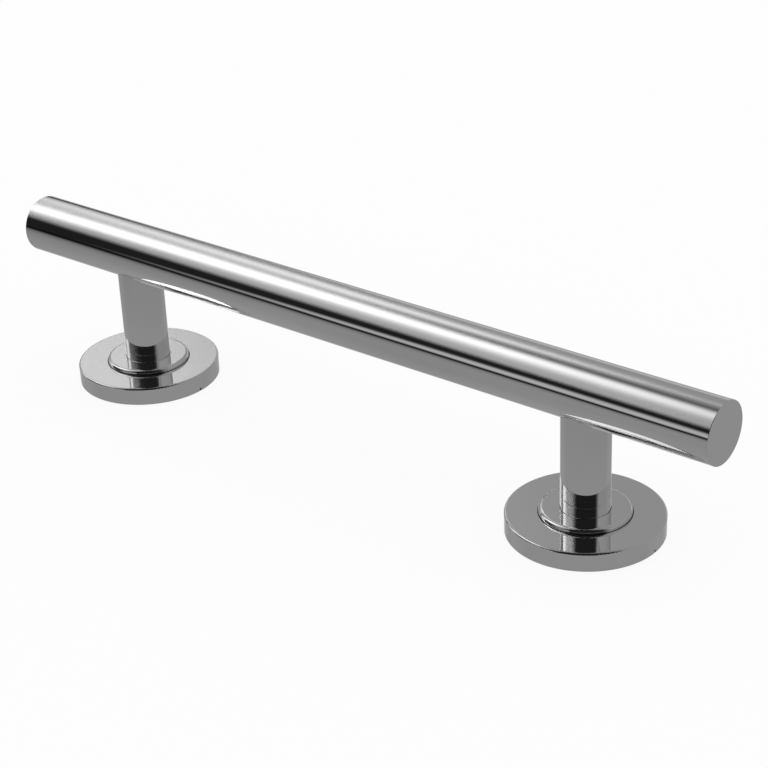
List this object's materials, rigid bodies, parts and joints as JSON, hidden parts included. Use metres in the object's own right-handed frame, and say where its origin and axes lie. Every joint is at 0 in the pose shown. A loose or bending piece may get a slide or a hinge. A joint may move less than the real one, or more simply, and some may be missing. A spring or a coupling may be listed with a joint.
{
  "type": "grab bar",
  "caption": "Straight chrome grab bar: a round rail with flat closed ends on slim posts, each with a round cover flange over a hidden wall fixing.",
  "frame": {"origin": "on the wall plane, midway between the two posts", "axes": "+X along the rail, +Z away from the wall towards the hand, +Y across the rail"},
  "size_m": [0.45, 0.08, 0.0924],
  "materials": {
    "polished_chrome": "bright polished chrome plate",
    "plate_steel": "plain turned stainless steel",
    "screw_steel": "bright zinc plated steel",
    "ring_rubber": "smooth matt black rubber"
  },
  "bodies": {
    "root": {"rail_tube": "polished_chrome", "left_end_cap": "polished_chrome", "left_post": "polished_chrome", "left_cover": "polished_chrome", "left_wall_plate": "plate_steel", "left_tie_bolt": "screw_steel", "left_spring_washer": "screw_steel", "left_saddle_nut": "screw_steel", "left_grub_screw": "screw_steel", "left_grip_ring": "ring_rubber", "right_end_cap": "polished_chrome", "right_post": "polished_chrome", "right_cover": "polished_chrome", "right_wall_plate": "plate_steel", "right_tie_bolt": "screw_steel", "right_spring_washer": "screw_steel", "right_saddle_nut": "screw_steel", "right_grub_screw": "screw_steel", "right_grip_ring": "ring_rubber"}
  },
  "joints": []
}
